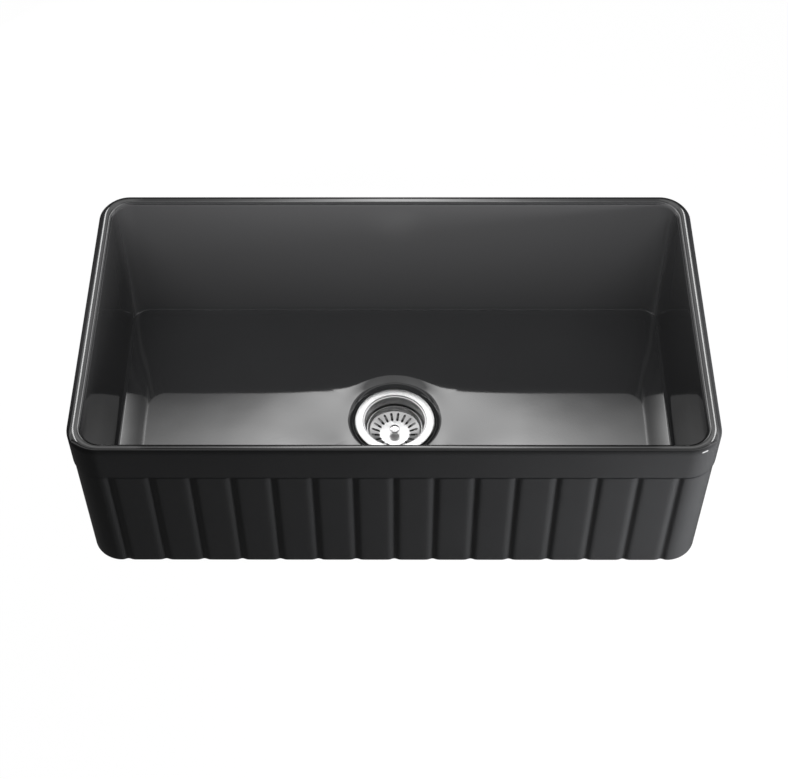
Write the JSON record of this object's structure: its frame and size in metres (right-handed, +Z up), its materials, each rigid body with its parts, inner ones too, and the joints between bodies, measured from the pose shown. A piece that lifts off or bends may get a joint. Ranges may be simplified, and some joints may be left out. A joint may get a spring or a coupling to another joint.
{
  "type": "farmhouse apron front sink",
  "caption": "Single-bowl glazed fireclay farmhouse sink with a fluted apron front below a plain band, and a lift-out basket strainer waste with a clamped outlet.",
  "frame": {"origin": "centre of the fireclay's underside, where the sink rests on the bearers of its cabinet", "axes": "+Z up, +X to the right as seen from the front, +Y to the back; the fluted apron faces -Y"},
  "size_m": [0.85, 0.46, 0.4047],
  "materials": {
    "glazed_fireclay": "glossy charcoal glaze",
    "stainless_steel": "satin",
    "polished_steel": "polished",
    "brass": "machined",
    "black_rubber": "matt",
    "white_plastic": "moulded",
    "fibre": "pressed"
  },
  "bodies": {
    "sink": {"fireclay_bowl": "glazed_fireclay", "flange_cup": "stainless_steel", "flange_seal": "black_rubber", "lower_gasket": "black_rubber", "screw_washer": "fibre", "centre_screw": "stainless_steel", "outlet_body": "white_plastic", "threaded_insert": "brass", "coupling_washer": "black_rubber", "tail_pipe": "white_plastic", "union_nut": "white_plastic"},
    "catch": {"stem_catch": "white_plastic"},
    "basket": {"basket_dish": "stainless_steel", "basket_knob": "polished_steel", "basket_stem": "stainless_steel", "backing_plate": "stainless_steel", "stopper_seal": "black_rubber", "stem_washer": "stainless_steel", "stem_nut": "brass"}
  },
  "joints": [
    {"name": "basket_lift", "type": "slide", "parent": "sink", "child": "catch", "axis": [0, 0, 1], "range_m": [0, 0.3]},
    {"name": "basket_turn", "type": "hinge", "parent": "catch", "child": "basket", "pos_m": [0, -0.005, 0], "axis": [0, 0, 1], "continuous": true}
  ]
}
